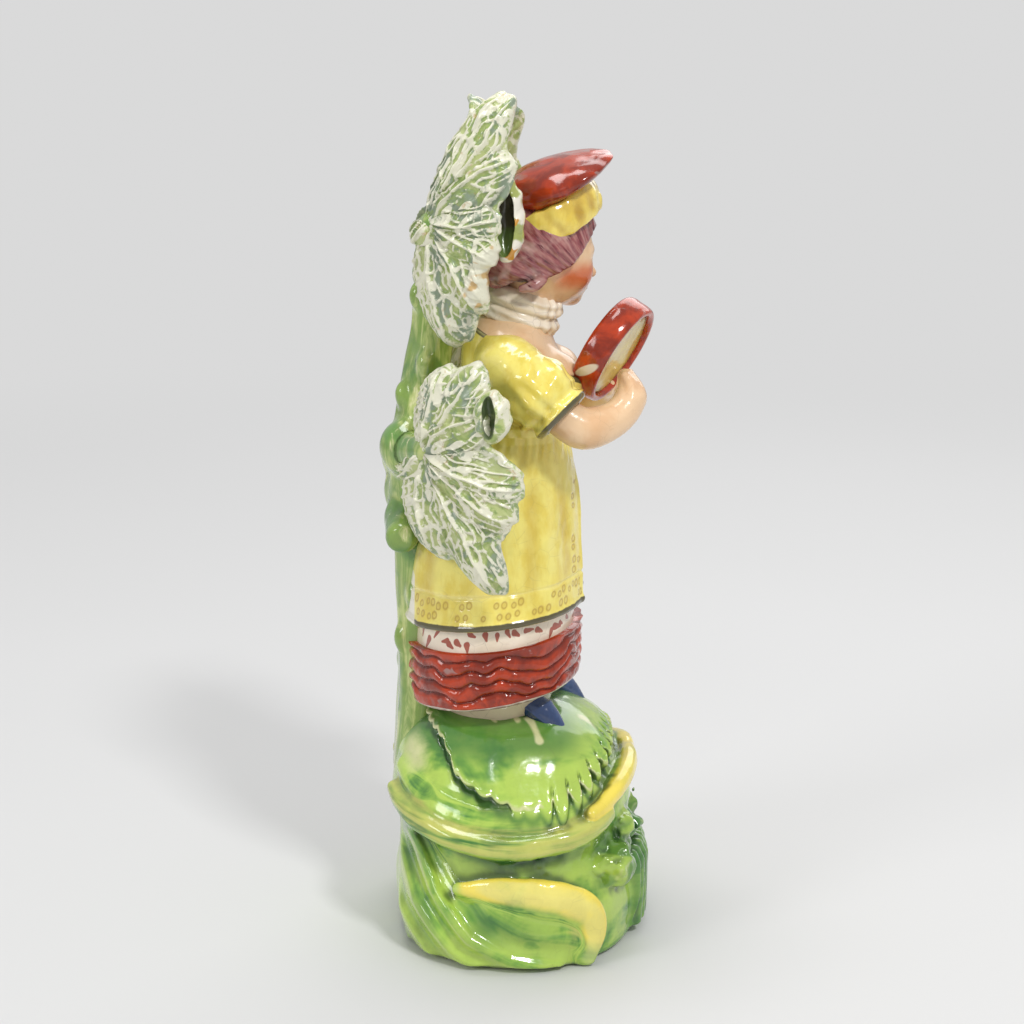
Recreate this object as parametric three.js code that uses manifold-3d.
// A pearlware bocage figure: a girl with a tambourine on a scrolled mound, in front of a leafy tree.
// Millimetres, +Z up. The girl faces -Y, so her right side is -X.
// The real figure is pressed in moulds, one piece at a time, and luted together with slip.
import * as THREE from "three";
import { mergeVertices } from "three/addons/utils/BufferGeometryUtils.js";
import Module from "manifold-3d";

const wasm = await Module();
wasm.setup();

// Slip seam left between two luted pieces
const seam = 0.3;
// How far a flat facet may stray when small ones are joined
const facetTolerance = 0.08;
const mergeDistance = 0.001;

// Mound
const baseWidth = 58;
const baseDepth = 48;
const blockHeight = 19;
const waistInset = 2.2;
const collarRise = 12;
const domeRise = 13;
const topWidth = 25;
const topDepth = 22;
const wall = 5;
const hollowHeight = 30;
const ventRadius = 4.5;

// Relief on the mound
const collarThickness = 5.4;
const collarHeight = 9;
const collarRoll = 24;
const collarClimb = 7;
const panelThickness = 2.3;
const rimRadius = 2.5;
const turfThickness = 1.4;
const scallops = 26;
const scallopDepth = 1.1;
const fluteCount = 9;
const fluteWidth = 2.8;
const fluteDepth = 1.3;
const fluteFoot = 1.5;
const fluteBed = 0.8;
const rockRadius = 4.4;

// Skirts
const hemLift = 4.5;
const hemSlope = 0.15;
const hemWidth = 38;
const hemDepth = 30.5;
const footInset = 3;
const flounceHeight = 11;
const flounceThickness = 2;
const skirtRise = 48;
const waistWidth = 21;
const waistDepth = 18;
const robeThickness = 1.5;
const robeClear = 4;
const robeGape = 13;
const coreRadius = 6;

// Upper body
const torsoRise = 23;
const bustWidth = 26;
const bustDepth = 21;
const neckRadius = 5.4;
const neckRise = 13;
const ruffRadius = 7.6;
const ruffHeight = 6.4;
const sleeveRadius = 6.4;
const upperArm = 15;
const forearmRadius = 3.9;
const shoeLength = 9.5;
const shoeRadius = 2.7;

// Head and hat
const headWidth = 17;
const headDepth = 18.6;
const headHeight = 21;
const hairThickness = 1.5;
const bandRadius = 9.3;
const bandHeight = 6.5;
const crownRadius = 11.2;
const crownThickness = 6.4;
const crownOverhang = 2.6;
const hatTilt = 26;
const hatRoll = 17;

// Tambourine
const hoopRadius = 10.2;
const hoopDepth = 5.4;
const hoopWall = 1.5;
const skinThickness = 1;

// Tree
const trunkWidth = 13;
const trunkDepth = 9;
const trunkRise = 117;
const branchRadius = 3.1;
const knotRadius = 4.7;
const leafThickness = 2.3;
const leafScale = 1;
const leafColumns = 44;
const upperLeafOut = 22;
const lowerLeafOut = 29;
const curlWidth = 2.3;

// Heights and centres that follow from the sizes
const moundTop = blockHeight + collarRise + domeRise;
const baseY = -0.4;
const skirtY = 3.4;
const hemZ = moundTop + hemLift;
const waistZ = hemZ + skirtRise;
const bodyY = -0.4;
const shoulderZ = waistZ + torsoRise - 7;
const neckZ = waistZ + torsoRise - 2;
const headZ = neckZ + neckRise;
const ruffZ = neckZ + 3.4;
const headY = -6.2;
const trunkFoot = blockHeight + collarRise - 1;
const hatZ = headZ + 0.33 * headHeight;

const glaze = (color, roughness = 0.25) => new THREE.MeshStandardMaterial({ color, roughness, metalness: 0 });
const colours = {
  mound: glaze(0x7fae3e),
  scroll: glaze(0xe3c94d),
  bark: glaze(0x7fae55),
  leaf: glaze(0xaebc86, 0.35),
  curl: glaze(0xe6dcb8, 0.3),
  petticoat: glaze(0xf0e6d2),
  flounce: glaze(0xa8301c),
  robe: glaze(0xecd04e),
  skin: glaze(0xf0c39c),
  ruff: glaze(0xe8e0c8),
  hair: glaze(0x8a4450),
  drumSkin: glaze(0xd6bd5e),
  shoe: glaze(0x4a6288),
};

// Smooth values between rows of numbers, at t from 0 to 1 along the rows.
function between(rows, t) {
  const last = rows.length - 1;
  const place = Math.min(t * last, last - 1e-9);
  const i = Math.floor(place);
  const f = place - i;
  const row = (k) => rows[Math.min(Math.max(k, 0), last)];
  return rows[i].map((unused, c) => {
    const [a, b, d, e] = [row(i - 1)[c], row(i)[c], row(i + 1)[c], row(i + 2)[c]];
    return b + 0.5 * f * (d - a + f * (2 * a - 5 * b + 4 * d - e + f * (3 * (b - d) + e - a)));
  });
}

// A closed solid through rings of points, each ring with as many points as the next.
function skinOver(rings) {
  const sides = rings[0].length;
  const points = rings.flat();
  const centre = (ring) => ring.reduce((sum, p) => sum.add(p), new THREE.Vector3()).divideScalar(sides);
  points.push(centre(rings[0]), centre(rings.at(-1)));
  const index = [];
  rings.slice(1).forEach((unused, r) => {
    for (let i = 0; i < sides; i++) {
      const a = r * sides + i;
      const b = r * sides + ((i + 1) % sides);
      index.push(a, b, a + sides, b, b + sides, a + sides);
    }
  });
  const top = (rings.length - 1) * sides;
  for (let i = 0; i < sides; i++) {
    const next = (i + 1) % sides;
    index.push(points.length - 2, next, i, points.length - 1, top + i, top + next);
  }
  const made = new THREE.BufferGeometry().setFromPoints(points);
  made.setIndex(index);
  return toSolid(made);
}

function toSolid(geometry) {
  const bare = geometry.clone();
  bare.deleteAttribute("normal");
  bare.deleteAttribute("uv");
  const merged = mergeVertices(bare, mergeDistance);
  const triVerts = new Uint32Array(merged.index.array);
  const build = () => new wasm.Manifold(
    new wasm.Mesh({ numProp: 3, vertProperties: merged.attributes.position.array, triVerts }),
  );
  const made = build();
  if (made.volume() > 0) return made;
  triVerts.reverse();
  return build();
}

// An oval with rounded corners for power above 2.
function oval(x, y, z, rx, ry, sides, power = 2) {
  return Array.from({ length: sides }, (unused, i) => {
    const angle = (i / sides) * 2 * Math.PI;
    const bulge = (v) => Math.sign(v) * Math.abs(v) ** (2 / power);
    return new THREE.Vector3(x + rx * bulge(Math.cos(angle)), y + ry * bulge(Math.sin(angle)), z);
  });
}

// Rows are [z, y, half width, half depth]; slope lifts the front of the bottom row and fades upward.
function loft(rows, { sides = 24, steps = 8, power = 2, slope = 0, grow = 0 } = {}) {
  const [low, high] = [rows[0][0], rows.at(-1)[0]];
  const rings = Array.from({ length: steps + 1 }, (unused, s) => {
    const [z, y, rx, ry] = between(rows, s / steps);
    const end = s === 0 ? -grow : s === steps ? grow : 0;
    const fade = 1 - (z - low) / (high - low);
    return oval(0, y, z + end, rx + grow, ry + grow, sides, power).map((p) => {
      p.z -= slope * fade * (p.y - y);
      return p;
    });
  });
  return skinOver(rings);
}

// A limb with round ends along points; radii are [across, thick] at each point.
function limb(points, radii, { sides = 10, steps = 6, up = [0, 0, 1], roll = 0, grow = 0 } = {}) {
  const line = new THREE.CatmullRomCurve3(points.map((p) => new THREE.Vector3(...p)));
  const rings = [];
  const addRing = (centre, along, across, thick) => {
    const side = new THREE.Vector3(...up).cross(along).normalize().applyAxisAngle(along, roll);
    const over = along.clone().cross(side);
    rings.push(
      oval(0, 0, 0, across, thick, sides).map((p) =>
        centre.clone().addScaledVector(side, p.x).addScaledVector(over, p.y),
      ),
    );
  };
  const capTurns = [0.3, 0.75];
  for (let s = 0; s <= steps; s++) {
    const centre = line.getPoint(s / steps);
    const along = line.getTangent(s / steps);
    const [across, thick] = between(radii, s / steps).map((r) => r + grow);
    const cap = (direction) =>
      capTurns.map((share) => () =>
        addRing(
          centre.clone().addScaledVector(along, direction * thick * Math.sqrt(1 - share * share)),
          along,
          across * share,
          thick * share,
        ),
      );
    if (s === 0) cap(-1).forEach((add) => add());
    addRing(centre, along, across, thick);
    if (s === steps) cap(1).reverse().forEach((add) => add());
  }
  return skinOver(rings);
}

// Radii given as shares of one size
const scaled = (shares, size) => shares.map((pair) => pair.map((share) => share * size));

// A turned solid: profile points are [radius, height], stood on its place and tilted.
function turned(profile, sides, place, turn = [0, 0, 0]) {
  const shape = new THREE.LatheGeometry(profile.map(([r, h]) => new THREE.Vector2(r, h)), sides);
  shape.rotateX(Math.PI / 2);
  shape.applyMatrix4(new THREE.Matrix4().makeRotationFromEuler(new THREE.Euler(...turn)));
  shape.translate(...place);
  return toSolid(shape);
}

function lump(place, radii, { columns = 14, rows = 9, grow = 0 } = {}) {
  const ball = new THREE.SphereGeometry(1, columns, rows);
  ball.rotateX(Math.PI / 2);
  ball.scale(...radii.map((r) => r + grow));
  ball.translate(...place);
  return toSolid(ball);
}

// An outline of points moved outward all round
function widened(outline, grow) {
  const turn = Math.sign(THREE.ShapeUtils.area(outline));
  return outline.map((p, i) => {
    const before = outline.at(i - 1);
    const after = outline[(i + 1) % outline.length];
    const along = after.clone().sub(before).normalize();
    return new THREE.Vector2(p.x + turn * grow * along.y, p.y - turn * grow * along.x);
  });
}

function extruded(outline, z, height) {
  const made = new THREE.ExtrudeGeometry(new THREE.Shape(outline), { depth: height, bevelEnabled: false });
  made.translate(0, 0, z);
  return toSolid(made);
}

const figure = new THREE.Group();
const placed = [];

const largest = (body) => body.decompose().sort((a, b) => b.volume() - a.volume())[0];

function toGeometry(body) {
  const mesh = body.getMesh();
  const geometry = new THREE.BufferGeometry();
  geometry.setAttribute("position", new THREE.BufferAttribute(new Float32Array(mesh.vertProperties), 3));
  geometry.setIndex(new THREE.BufferAttribute(new Uint32Array(mesh.triVerts), 1));
  return geometry;
}

const touching = (a, b) => [0, 1, 2].every((i) => a.min[i] < b.max[i] && b.min[i] < a.max[i]);

// Adds one piece. What was placed before keeps its shape, and the new piece is pared back to a seam from it.
function place(name, shape, colour, hollow) {
  let body = shape(0);
  if (hollow) body = body.subtract(hollow);
  for (const other of placed) {
    if (touching(body.boundingBox(), other.grown.boundingBox())) body = body.subtract(other.grown);
  }
  // Points closer than the merge distance become one, which can pinch off a sliver.
  const clean = largest(toSolid(toGeometry(largest(body.simplify(facetTolerance)))));
  const geometry = toGeometry(clean);
  geometry.computeVertexNormals();
  const piece = new THREE.Mesh(geometry, colour);
  piece.name = name;
  figure.add(piece);
  placed.push({ name, grown: shape(seam) });
}

const both = [
  ["right", -1],
  ["left", 1],
];

// Mound

const half = (size) => size / 2;
const moundRows = [
  [0, baseY, half(baseWidth), half(baseDepth)],
  [0.5 * blockHeight, baseY, half(baseWidth) + 0.4, half(baseDepth) + 0.3],
  [blockHeight, baseY, half(baseWidth) - waistInset, half(baseDepth) - waistInset],
  [blockHeight + 0.6 * collarRise, baseY + 0.4, half(baseWidth) - waistInset, half(baseDepth) - 0.8],
  [blockHeight + collarRise, baseY + 1.2, 0.88 * half(baseWidth), 0.93 * half(baseDepth)],
  [blockHeight + collarRise + 0.5 * domeRise, baseY + 2.2, 0.75 * half(baseWidth), 0.84 * half(baseDepth)],
  [blockHeight + collarRise + 0.85 * domeRise, skirtY, 0.59 * half(baseWidth), 0.66 * half(baseDepth)],
  [moundTop, skirtY + 2, half(topWidth), half(topDepth)],
];
const moundPower = 2.3;
const mound = (grow) => loft(moundRows, { sides: 28, steps: 10, power: moundPower, grow });
// The mould leaves an even wall, and the body is vented into the hollow.
const hollowRows = [
  [-1, baseY, half(baseWidth) - wall, half(baseDepth) - wall],
  [0.6 * hollowHeight, baseY, half(baseWidth) - wall - waistInset, half(baseDepth) - wall - waistInset],
  [hollowHeight, baseY + 1.5, half(baseWidth) - wall - 9, half(baseDepth) - wall - 7],
];
const vent = turned(
  [[0, 0], [ventRadius, 0], [ventRadius, moundTop], [0, moundTop]],
  16,
  [0, skirtY, hollowHeight / 2],
);
const hollow = loft(hollowRows, { sides: 24, steps: 3, power: moundPower }).add(vent);
place("base_shell", mound, colours.mound, hollow);

// A mat of turf with a scalloped edge lies on the dome.
place(
  "turf_mat",
  (grow) => {
    const outline = Array.from({ length: scallops * 3 }, (unused, i) => {
      const angle = (i / (scallops * 3)) * 2 * Math.PI;
      const wave = scallopDepth * Math.abs(Math.sin((scallops / 2) * angle));
      const [rx, ry] = [0.8 * half(baseWidth) + wave, 0.8 * half(baseDepth) + wave];
      return new THREE.Vector2(rx * Math.cos(angle), baseY + 1.6 + ry * Math.sin(angle));
    });
    const column = extruded(widened(outline, grow), blockHeight, moundTop);
    return mound(turfThickness + seam + grow).intersect(column);
  },
  colours.mound,
  vent,
);

// The row of an outline at a height, found by halving
function rowAt(rows, z) {
  let [low, high] = [0, 1];
  for (let i = 0; i < 30; i++) {
    const middle = (low + high) / 2;
    if (between(rows, middle)[0] < z) low = middle;
    else high = middle;
  }
  return between(rows, low);
}

// A point on the side of the mound, at an angle from the girl's left, pushed out by some millimetres
function onMound(degrees, z, out) {
  const angle = THREE.MathUtils.degToRad(degrees);
  const [, y, rx, ry] = rowAt(moundRows, z);
  const bulge = (v) => Math.sign(v) * Math.abs(v) ** (2 / moundPower);
  return [bulge(Math.cos(angle)) * (rx + out), y + bulge(Math.sin(angle)) * (ry + out), z];
}

// The collar climbs toward the tree and stops on both sides of it.
const collarFrom = 112;
const collarTo = 428;
const collarSteps = 24;
const collarRoute = Array.from({ length: collarSteps + 1 }, (unused, i) => {
  const degrees = THREE.MathUtils.lerp(collarFrom, collarTo, i / collarSteps);
  const back = Math.sin(THREE.MathUtils.degToRad(degrees));
  const climb = collarClimb * back * back;
  return onMound(degrees, blockHeight + 0.55 * collarRise + climb, 0.16 * collarThickness);
});
const collarRadii = [
  [0.3 * collarThickness, 0.3 * collarHeight],
  [half(collarThickness), half(collarHeight)],
  [half(collarThickness), half(collarHeight)],
  [half(collarThickness), half(collarHeight)],
  [0.3 * collarThickness, 0.3 * collarHeight],
];
place(
  "collar_scroll",
  (grow) =>
    limb(collarRoute, collarRadii, {
      sides: 8,
      steps: 26,
      roll: THREE.MathUtils.degToRad(collarRoll),
      grow,
    }),
  colours.scroll,
);

// A big flat scroll lies on each side, with a rolled rim along its upper edge.
// Outlines run from the front, over the top, to the back: share of the depth, then share of the height.
const rimLine = [
  [-0.3, 0.1],
  [-0.355, 0.36],
  [-0.335, 0.64],
  [-0.24, 0.88],
  [-0.08, 0.97],
  [0.08, 0.94],
  [0.2, 0.86],
];
const sweepLine = [
  [0.2, 0.86],
  [0.31, 1.1],
  [0.4, 1.5],
];
const onSide = ([depthShare, heightShare]) => [baseY + depthShare * baseDepth, heightShare * blockHeight];
both.forEach(([hand, side]) => {
  const upperEdge = [...rimLine, ...sweepLine.slice(1)];
  const edge = new THREE.SplineCurve(upperEdge.map((p) => new THREE.Vector2(...onSide(p))));
  const foot = [onSide([0.455, 1.2]), onSide([0.465, 0.4]), onSide([0.43, 0.05]), onSide([-0.28, 0.05])];
  const outline = [...edge.getPoints(24), ...foot.map((p) => new THREE.Vector2(...p))];
  place(
    `side_panel_${hand}`,
    (grow) => {
      const wide = new THREE.Shape(widened(outline, grow));
      const slab = new THREE.ExtrudeGeometry(wide, { depth: baseWidth, bevelEnabled: false });
      slab.rotateX(Math.PI / 2);
      slab.rotateZ(Math.PI / 2);
      if (side < 0) slab.translate(-baseWidth, 0, 0);
      return mound(panelThickness + seam + grow).intersect(toSolid(slab));
    },
    colours.mound,
  );
  const route = rimLine.map((p) => {
    const [y, z] = onSide(p);
    const [, centre, rx, ry] = rowAt(moundRows, z);
    const out = 0.8 * panelThickness;
    const inward = Math.abs((y - centre) / (ry + out)) ** moundPower;
    return [side * (rx + out) * (1 - inward) ** (1 / moundPower), y, z];
  });
  const radii = [0.6, 1, 1, 1, 0.9, 0.6, 0.3].map((r) => [r * rimRadius, r * rimRadius]);
  place(`scroll_rim_${hand}`, (grow) => limb(route, radii, { steps: 9, sides: 8, grow }), colours.scroll);
});

// Fluted shell work fills the front of the block and follows its curve.
const fluteStart = -half(fluteCount) * fluteWidth;
function blockFront(x) {
  const [, y, rx, ry] = moundRows[1];
  return y - ry * (1 - Math.abs(x / rx) ** moundPower) ** (1 / moundPower);
}
place(
  "front_flutes",
  (grow) => {
    const outline = [];
    const back = baseY - half(baseDepth) + wall;
    for (let i = 0; i <= fluteCount * 6; i++) {
      const x = fluteStart + (i / 6) * fluteWidth;
      const swell = fluteDepth * Math.abs(Math.sin((i / 6) * Math.PI));
      outline.push(new THREE.Vector2(x, blockFront(x) - fluteBed - swell));
    }
    outline.push(new THREE.Vector2(outline.at(-1).x, back), new THREE.Vector2(outline[0].x, back));
    return extruded(widened(outline, grow), fluteFoot - grow, blockHeight - 2 * fluteFoot + 2 * grow);
  },
  colours.mound,
);

// Rocks sit between the flutes and the side scrolls, under the collar.
both.forEach(([hand, side]) => {
  const [x, y, z] = onMound(-56, 0.9 * blockHeight, 0);
  const radii = [1.25, 0.9, 1.1].map((share) => share * rockRadius);
  place(
    `rock_${hand}`,
    (grow) => lump([side * x, y, z], radii, { grow }),
    colours.mound,
  );
});

// Tree

const treeY = skirtY + half(hemDepth) - 0.9;
const trunkRows = [
  [trunkFoot, treeY, 0.75 * trunkWidth, half(trunkDepth) + 1.2],
  [trunkFoot + 0.17 * trunkRise, treeY, half(trunkWidth), half(trunkDepth)],
  [trunkFoot + 0.36 * trunkRise, treeY + 0.6, half(trunkWidth) - 0.6, half(trunkDepth) - 0.2],
  [trunkFoot + 0.54 * trunkRise, treeY + 0.8, half(trunkWidth) - 0.2, half(trunkDepth)],
  [trunkFoot + 0.74 * trunkRise, treeY - 2.9, half(trunkWidth) - 1, half(trunkDepth) - 0.3],
  [trunkFoot + 0.9 * trunkRise, treeY - 5.2, half(trunkWidth) - 1.4, half(trunkDepth) - 0.6],
  [trunkFoot + trunkRise, treeY - 9.4, 0.3 * trunkWidth, 0.26 * trunkDepth],
];
place("trunk", (grow) => loft(trunkRows, { sides: 14, steps: 12, grow }), colours.bark);

// The middle of the trunk at a height
const trunkY = (z) => rowAt(trunkRows, z)[1];

// A swelling bud and a sawn stub on each side, not quite level with each other
both.forEach(([hand, side]) => {
  const budZ = waistZ - 3.2 - 1.5 * side;
  const stubZ = waistZ - 16 + 2.5 * side;
  const budCentre = [side * 0.36 * trunkWidth, trunkY(budZ) + 0.25 * trunkDepth, budZ];
  const budRadii = [1, 0.86, 1.12].map((share) => share * knotRadius);
  place(`bud_${hand}`, (grow) => lump(budCentre, budRadii, { grow }), colours.bark);
  const stubY = trunkY(stubZ) + 0.18 * trunkDepth;
  const stubStart = [side * 0.2 * trunkWidth, stubY, stubZ + 1];
  const stubEnd = [side * 0.7 * trunkWidth, stubY + 0.6, stubZ - 0.8];
  const stubRadius = [knotRadius * 0.86, knotRadius * 0.86];
  place(
    `stub_${hand}`,
    (grow) => limb([stubStart, stubEnd], [stubRadius, stubRadius], { steps: 3, grow }),
    colours.bark,
  );
});

// Feet

both.forEach(([hand, side]) => {
  const x = side < 0 ? -9.3 : 6.5;
  const heelY = skirtY - (side < 0 ? 7.4 : 10.4);
  const heelZ = moundTop + 2.4;
  const heel = [x, heelY, heelZ];
  const toe = [x + 0.6 * side, heelY - 0.72 * shoeLength, heelZ - 0.52 * shoeLength];
  const middle = [x, (heel[1] + toe[1]) / 2, (heel[2] + toe[2]) / 2 + 0.5];
  const radii = scaled([[0.85, 1], [1.05, 1], [0.5, 0.45]], shoeRadius);
  place(
    `shoe_${hand}`,
    (grow) => limb([heel, middle, toe], radii, { steps: 4, grow }),
    colours.shoe,
  );
});

// Skirts

const skirtSides = 28;
const skirtRows = [
  [hemZ, skirtY, half(hemWidth), half(hemDepth)],
  [hemZ + 0.25 * skirtRise, skirtY, half(hemWidth) + 0.3, half(hemDepth) + 0.3],
  [hemZ + 0.55 * skirtRise, skirtY - 0.4, 0.9 * half(hemWidth), 0.93 * half(hemDepth)],
  [hemZ + 0.83 * skirtRise, skirtY - 1.9, 0.69 * half(hemWidth), 0.76 * half(hemDepth)],
  [waistZ, bodyY + 0.4, half(waistWidth), half(waistDepth)],
];
const skirt = (grow) => loft(skirtRows, { sides: skirtSides, steps: 6, slope: hemSlope, grow });
// Under the hem the body narrows and stands on the mound.
const footRows = [
  [moundTop - 2, skirtY + 1.2, half(hemWidth) - footInset - 2, half(hemDepth) - footInset - 1.5],
  [hemZ + 3, skirtY, half(hemWidth) - footInset, half(hemDepth) - footInset],
];
const coreRise = 0.85 * skirtRise;
const core = turned(
  [[0, 0], [coreRadius, 0], [coreRadius, 0.55 * skirtRise], [0.4 * coreRadius, coreRise], [0, coreRise]],
  16,
  [0, skirtY, hemZ - 6],
);
place(
  "petticoat",
  (grow) => skirt(grow).add(loft(footRows, { sides: skirtSides, steps: 1, grow })),
  colours.petticoat,
  core,
);

// Three rolls of flounce, one above another, round the hem
const rollHeight = flounceHeight / 3;
const rollOut = (turn) => flounceThickness * (0.72 + 0.28 * Math.sin(turn * Math.PI));
const flounceRows = Array.from({ length: 7 }, (unused, i) => {
  const t = i / 6;
  const out = rollOut((3 * t) % 1.0001);
  const [z, y, rx, ry] = [hemZ - 0.4 + t * flounceHeight, skirtY, half(hemWidth) + out, half(hemDepth) + out];
  return [z, y, rx, ry];
});
place(
  "flounce",
  (grow) => {
    const rings = flounceRows.map(([z, y, rx, ry], i) => {
      const end = i === 0 ? -grow : i === flounceRows.length - 1 ? grow : 0;
      return oval(0, y, z + end, rx + grow, ry + grow, skirtSides).map((p) => {
        p.z -= hemSlope * (p.y - y);
        return p;
      });
    });
    return skinOver(rings);
  },
  colours.flounce,
);

// The robe is open down the front, so it hangs from the waist as a shell.
const robeZ = hemZ + flounceHeight + robeClear;
place(
  "robe",
  (grow) => {
    const cutBelow = robeZ - grow;
    const outside = skirt(robeThickness + seam + grow);
    const gape = [
      new THREE.Vector2(0, waistZ - robeZ - 7),
      new THREE.Vector2(-half(robeGape), -9),
      new THREE.Vector2(half(robeGape), -9),
    ];
    const front = new THREE.ExtrudeGeometry(new THREE.Shape(gape), { depth: hemDepth, bevelEnabled: false });
    front.rotateX(Math.PI / 2);
    front.translate(0, skirtY - 6, robeZ);
    const opened = grow > 0 ? outside : outside.subtract(toSolid(front));
    return opened.trimByPlane([0, 0.03, 1], cutBelow);
  },
  colours.robe,
);

// Head and upper body

const head = (grow) => {
  const skull = lump(
    [0, headY, headZ],
    [half(headWidth), half(headDepth), half(headHeight)],
    { columns: 16, rows: 11, grow },
  );
  const jaw = lump(
    [0, headY - 0.2 * headDepth, headZ - 0.27 * headHeight],
    [0.36 * headWidth, 0.27 * headDepth, 0.24 * headHeight],
    { columns: 14, rows: 9, grow },
  );
  const nose = lump(
    [0, headY - 0.51 * headDepth, headZ - 0.09 * headHeight],
    [0.06 * headWidth, 0.08 * headDepth, 0.07 * headHeight],
    { columns: 8, rows: 6, grow },
  );
  return skull.add(jaw).add(nose);
};
place("head", head, colours.skin);

const torsoRows = [
  [waistZ, bodyY + 0.3, half(waistWidth) + 0.6, half(waistDepth) + 0.5],
  [waistZ + 0.3 * torsoRise, bodyY - 0.9, half(bustWidth) - 0.5, half(bustDepth)],
  [waistZ + 0.5 * torsoRise, bodyY - 0.6, half(bustWidth) + 0.2, half(bustDepth)],
  [waistZ + 0.72 * torsoRise, bodyY + 0.7, half(bustWidth), half(bustDepth) - 1.6],
  [waistZ + 0.88 * torsoRise, bodyY + 1, 0.8 * half(bustWidth), 0.72 * half(bustDepth)],
  [waistZ + torsoRise, bodyY, neckRadius + 1, neckRadius + 1],
];
const torso = (grow) => loft(torsoRows, { sides: 24, steps: 9, grow });
// The neckline dips to the front.
const necklineTilt = [0, 0.43, -0.9];
const necklineZ = shoulderZ + 2;
const necklineAt = (lift) => necklineTilt[2] * (necklineZ + lift);
place("bodice", (grow) => torso(grow).trimByPlane(necklineTilt, necklineAt(grow)), colours.robe);

place(
  "neck",
  (grow) => {
    const column = limb(
      [[0, bodyY - 0.4, neckZ - 8], [0, bodyY - 1.4, neckZ], [0, headY + 2.6, headZ - 3]],
      [[neckRadius + 1, neckRadius + 1], [neckRadius, neckRadius], [neckRadius, neckRadius]],
      { steps: 3, sides: 16, up: [0, 1, 0], grow },
    );
    return column.add(torso(grow - 0.2));
  },
  colours.skin,
);

const frill = [
  [0.8, -0.5],
  [1, -0.3],
  [0.94, -0.06],
  [1, 0.18],
  [0.88, 0.5],
];
// A turned profile from [share of the radius, share of the height] points, closed on the axis
function disc(edge, radius, height, grow) {
  const rim = edge.map(([r, h]) => [r * radius + grow, h * (height + 2 * grow)]);
  return [[0, -half(height) - grow], ...rim, [0, half(height) + grow]];
}
place(
  "ruff",
  (grow) =>
    turned(
      disc(frill, ruffRadius, ruffHeight, grow),
      18,
      [0, bodyY - 1.5, ruffZ],
      [THREE.MathUtils.degToRad(17), 0, 0],
    ),
  colours.ruff,
);

// The hair is a cap over the skull, cut away for the face.
place(
  "hair",
  (grow) => {
    const cap = lump(
      [0, headY + 1.2, headZ + 0.3],
      [half(headWidth) + hairThickness, half(headDepth) + hairThickness - 0.4, half(headHeight) + 0.4],
      { columns: 16, rows: 10, grow },
    );
    const bun = lump(
      [0, headY + 0.3 * headDepth, headZ - 0.24 * headHeight],
      [0.36 * headWidth, 0.26 * headDepth, 0.2 * headHeight],
      { grow },
    );
    const face = lump(
      [0, headY - 0.62 * headDepth, headZ - 0.34 * headHeight],
      [0.56 * headWidth, 0.68 * headDepth, 0.56 * headHeight],
      { columns: 16, rows: 10 },
    );
    return cap.add(bun).subtract(face);
  },
  colours.hair,
);

const hatTurn = [-THREE.MathUtils.degToRad(hatTilt), -THREE.MathUtils.degToRad(hatRoll), 0];
const hatPlace = (forward, lift) =>
  new THREE.Vector3(0, -forward, lift)
    .applyEuler(new THREE.Euler(...hatTurn))
    .add(new THREE.Vector3(0, headY - 1.6, hatZ))
    .toArray();
place(
  "hat_band",
  (grow) =>
    turned(
      [
        [0, -grow],
        [bandRadius + grow, -grow],
        [bandRadius + 0.9 + grow, 0.4 * bandHeight],
        [bandRadius + 0.3 + grow, bandHeight + grow],
        [0, bandHeight + grow],
      ],
      28,
      hatPlace(0, -0.2 * bandHeight),
      hatTurn,
    ),
  colours.robe,
);

const crownEdge = [
  [0.86, -0.5],
  [0.97, -0.32],
  [1, -0.08],
  [0.95, 0.16],
  [0.78, 0.36],
  [0.45, 0.48],
];
place(
  "hat_crown",
  (grow) =>
    turned(
      disc(crownEdge, crownRadius, crownThickness, grow),
      32,
      hatPlace(crownOverhang, 0.8 * bandHeight + half(crownThickness)),
      hatTurn,
    ),
  colours.flounce,
);

// Tambourine, held low before the chest and turned a little to the girl's right

const drumNormal = new THREE.Vector3(-0.34, -0.8, -0.49).normalize();
const drumTurn = new THREE.Euler().setFromQuaternion(
  new THREE.Quaternion().setFromUnitVectors(new THREE.Vector3(0, 0, 1), drumNormal),
);
const drumTurns = [drumTurn.x, drumTurn.y, drumTurn.z];
const drumCentre = [-2.6, bodyY - half(bustDepth) - half(hoopDepth) - 5.2, shoulderZ + 0.6];
place(
  "tambourine_hoop",
  (grow) => {
    const inner = grow > 0 ? 0 : hoopRadius - hoopWall;
    const outer = hoopRadius + grow;
    const mid = outer - 0.35;
    const deep = half(hoopDepth) + grow;
    const belly = 0.6 * deep;
    const ring = [[inner, -deep], [mid, -deep], [outer, -belly], [outer, belly], [mid, deep], [inner, deep]];
    const profile = grow > 0 ? ring : [...ring, [inner, -deep]];
    return turned(profile, 36, drumCentre, drumTurns);
  },
  colours.flounce,
);
const skinRadius = hoopRadius - hoopWall - seam;
const skinCentre = new THREE.Vector3(...drumCentre).addScaledVector(drumNormal, 0.22 * hoopDepth).toArray();
const hoopPlaced = placed.pop();
place(
  "tambourine_skin",
  (grow) => {
    const thick = half(skinThickness) + grow;
    const wide = skinRadius + grow;
    return turned([[0, -thick], [wide, -thick], [wide, thick], [0, thick]], 36, skinCentre, drumTurns);
  },
  colours.drumSkin,
);
placed.push(hoopPlaced);

// Arms

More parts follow.
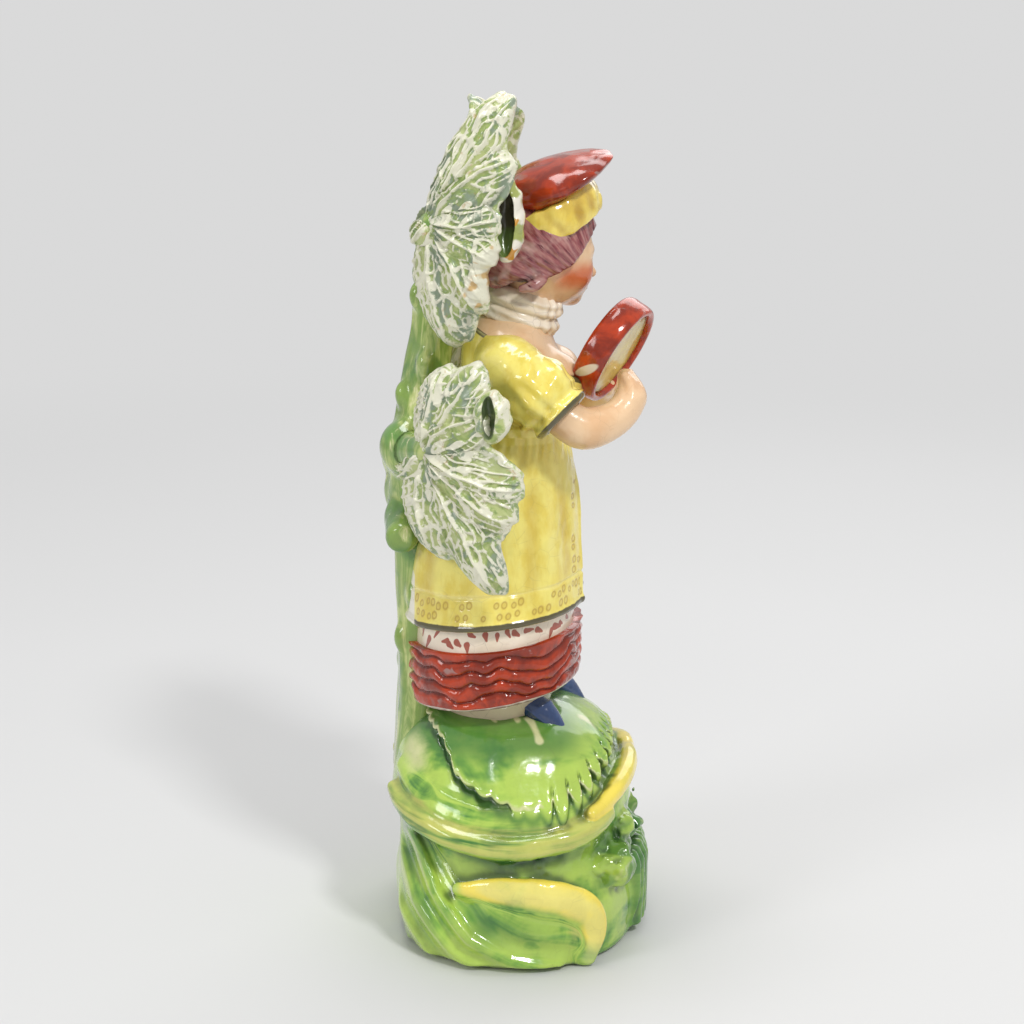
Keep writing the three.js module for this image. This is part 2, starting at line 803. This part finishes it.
const shoulderX = half(bustWidth) - 1.5;
both.forEach(([hand, side]) => {
  const shoulder = [side * shoulderX, bodyY + 1, shoulderZ - 1];
  const reach = side < 0 ? [0.3, -0.66, -0.6] : [0.26, -0.6, -0.64];
  const cuff = [
    shoulder[0] + side * reach[0] * upperArm,
    shoulder[1] + reach[1] * upperArm,
    shoulder[2] + reach[2] * upperArm,
  ];
  const middle = shoulder.map((v, i) => (v + cuff[i]) / 2 + [side * 1.1, 0.2, 1.3][i]);
  const sleeveRadii = scaled([[0.9, 0.95], [1.04, 1.04], [0.9, 0.9]], sleeveRadius);
  place(
    `sleeve_${hand}`,
    (grow) => {
      const end = new THREE.Vector3(...cuff).sub(new THREE.Vector3(...middle)).normalize();
      const sleeve = limb([shoulder, middle, cuff], sleeveRadii, { steps: 5, sides: 14, grow });
      const cut = end.dot(new THREE.Vector3(...cuff)) + 0.6 + grow;
      return sleeve.trimByPlane(end.clone().negate().toArray(), -cut);
    },
    colours.robe,
  );

  // The right hand curls in front of the skin, and the left holds the hoop from below.
  const centre = new THREE.Vector3(...drumCentre);
  const at = (x, y, z) => [centre.x + x, centre.y + y, centre.z + z];
  const elbow = side < 0 ? [0.3, -4.8, -2.2] : [-0.6, -4.4, -1.8];
  const wrist = side < 0 ? at(-11, -1.9, -10.4) : at(12, 0.6, -9.6);
  const palm = side < 0 ? at(-8.4, -5, -7.6) : at(9.6, -1.4, -7.9);
  const tips = side < 0 ? at(-6.2, -4.7, -3.9) : at(7.3, -2.7, -6.3);
  const route = [cuff, cuff.map((v, i) => v + elbow[i]), wrist, palm, tips];
  const radii = scaled([[0.98, 0.98], [1.06, 1.04], [0.92, 0.9], [0.84, 0.72], [0.62, 0.44]], forearmRadius);
  place(
    `forearm_${hand}`,
    (grow) => limb(route, radii, { steps: 9, up: [0.2, 0.1, 1], grow }),
    colours.skin,
  );
});

// Leaves

// Distance from a leaf's root to its edge: each lobe is an oval that starts at the root.
function leafEdge(angle, lobes) {
  const reach = lobes.map(([degrees, length, width]) => {
    const off = angle - THREE.MathUtils.degToRad(degrees);
    if (Math.cos(off) <= 0) return 0;
    const [long, wide] = [length / 2, width / 2];
    return (2 * Math.cos(off)) / long / ((Math.cos(off) / long) ** 2 + (Math.sin(off) / wide) ** 2);
  });
  return leafScale * Math.max(3.2, ...reach);
}

// A cupped leaf beside the figure. Angles run from the front (0) up (90) and to the back (180).
// Its distance from the middle plane falls off around the crest, which is a [y, z] point.
function leafX({ crest, out, fall }, y, z) {
  return out - fall[0] * (y - crest[0]) ** 2 - fall[1] * (z - crest[1]) ** 2;
}

function sideLeaf(leaf, grow) {
  const { side, root, lobes } = leaf;
  const rows = 2;
  const face = (share, angle, offset) => {
    const r = share * (leafEdge(angle, lobes) + grow);
    const [y, z] = [root[0] - r * Math.cos(angle), root[1] + r * Math.sin(angle)];
    return new THREE.Vector3(side * (leafX(leaf, y, z) + offset), y, z);
  };
  const ring = (share, offset) =>
    Array.from({ length: leafColumns }, (unused, i) => face(share, (i / leafColumns) * 2 * Math.PI, offset));
  const thick = half(leafThickness) + grow;
  const shares = Array.from({ length: rows }, (unused, i) => (i + 1) / rows);
  const rings = [
    ring(0.03, thick),
    ...shares.map((share) => ring(share, thick * (1 - 0.5 * share ** 4))),
    ...shares.toReversed().map((share) => ring(share, -thick * (1 - 0.5 * share ** 4))),
    ring(0.03, -thick),
  ];
  return skinOver(rings);
}

const upperLobes = [
  [75, 24.5, 12],
  [60, 27.5, 9],
  [38, 23, 11],
  [4, 15.5, 9],
  [-35, 16, 9],
  [-60, 20.5, 9],
  [-80, 22.5, 10],
  [-112, 10, 8],
];
const lowerLobes = [
  [78, 17.5, 8],
  [60, 20, 9],
  [38, 19.5, 10],
  [-14, 19, 9],
  [-38, 20, 9],
  [-62, 28, 8],
  [-86, 19, 10],
  [-125, 8, 7],
];
const turnLobes = (lobes, turn) => lobes.map(([angle, length, width]) => [angle + turn, length, width]);

both.forEach(([hand, side]) => {
  const upper = {
    side,
    root: [trunkY(headZ + 6) + 1, headZ + 6.2 - 0.8 * side],
    lobes: turnLobes(upperLobes, side > 0 ? -6 : 0),
    crest: [-1, headZ + 4],
    out: upperLeafOut,
    fall: [0.04, 0.0105],
  };
  const lower = {
    side,
    root: [trunkY(waistZ) - 3.2, waistZ + 0.6 + side],
    lobes: turnLobes(lowerLobes, side > 0 ? 5 : 0),
    crest: [-1, waistZ - 6],
    out: lowerLeafOut,
    fall: [0.05, 0.007],
  };

  [
    ["upper", upper],
    ["lower", lower],
  ].forEach(([level, leaf]) => {
    const [y, z] = leaf.root;
    const tipX = leafX(leaf, y, z) - half(leafThickness);
    const start = [side * 0.25 * trunkWidth, trunkY(z), z - 2];
    const end = [side * tipX, y, z];
    const middle = start.map((v, i) => (v + end[i]) / 2 + [0, 1.5, 0][i]);
    const radius = (share) => [share * branchRadius, share * branchRadius];
    place(
      `branch_${level}_${hand}`,
      (grow) => limb([start, middle, end], [radius(1.15), radius(1), radius(0.8)], { steps: 4, grow }),
      colours.bark,
    );
    place(`leaf_${level}_${hand}`, (grow) => sideLeaf(leaf, grow), colours.leaf);
  });

  // Lobes that curl over at the front edge of each leaf: distance in from the leaf, then how far
  // forward and up from the leaf's root.
  const curled = (leaf, points) =>
    points.map(([inward, forward, up]) => {
      const [y, z] = [leaf.root[0] - leafScale * forward, leaf.root[1] + leafScale * up];
      return [side * (leafX(leaf, y, z) - inward), y, z];
    });
  const widths = (shares, thick) => shares.map((share) => [share * curlWidth, share * thick]);
  const highRoute = curled(upper, [
    [0.5, 9.9, 6.6],
    [4.5, 13.6, 5.4],
    [6, 16, -0.4],
    [5.4, 15.2, -5.6],
    [3.6, 11.6, -8.4],
    [0.5, 8.4, -8],
  ]);
  place(
    `curl_upper_${hand}`,
    (grow) =>
      limb(highRoute, widths([0.8, 1, 1.1, 1, 0.8, 0.6], half(curlWidth)), { steps: 9, up: [1, 0, 0], grow }),
    colours.curl,
  );
  const lowRoute = curled(lower, [
    [1, 9.2, 5],
    [0.4, 12.2, 8],
    [0.4, 12.4, 12],
    [1, 9.4, 15],
  ]);
  place(
    `curl_lower_${hand}`,
    (grow) => limb(lowRoute, widths([0.7, 1, 1, 0.7], 1.2 * curlWidth), { steps: 7, up: [1, 0, 0], grow }),
    colours.leaf,
  );
});

// The crown leaf stands behind the hat and faces the front.
const crownLobes = [
  [90, 15, 10],
  [52, 14, 9],
  [128, 14, 9],
  [14, 11, 8],
  [166, 11, 8],
];
const crownRoot = [trunkFoot + trunkRise - 1.5, trunkY(trunkFoot + trunkRise) - 3.4];
place(
  "leaf_crown",
  (grow) => {
    const face = (share, angle, offset) => {
      const r = share * (leafEdge(angle, crownLobes) + grow);
      const [x, z] = [r * Math.cos(angle), r * Math.sin(angle)];
      return new THREE.Vector3(x, crownRoot[1] + 0.02 * (x * x + z * z) - offset, crownRoot[0] + z);
    };
    const ring = ([share, offset]) =>
      Array.from({ length: leafColumns }, (unused, i) => {
        return face(share, (i / leafColumns) * 2 * Math.PI, offset);
      });
    const thick = half(leafThickness) + grow;
    const backHalf = [[0.03, thick], [0.5, thick], [1, half(thick)]];
    const frontHalf = backHalf.map(([share, offset]) => [share, -offset]).reverse();
    return skinOver([...backHalf, ...frontHalf].map(ring));
  },
  colours.leaf,
);

// The frame's origin is under the middle of the figure, on the surface it stands on.
figure.updateMatrixWorld(true);
const box = new THREE.Box3().setFromObject(figure);
figure.position.set(-(box.min.x + box.max.x) / 2, -(box.min.y + box.max.y) / 2, -box.min.z);

export default figure;
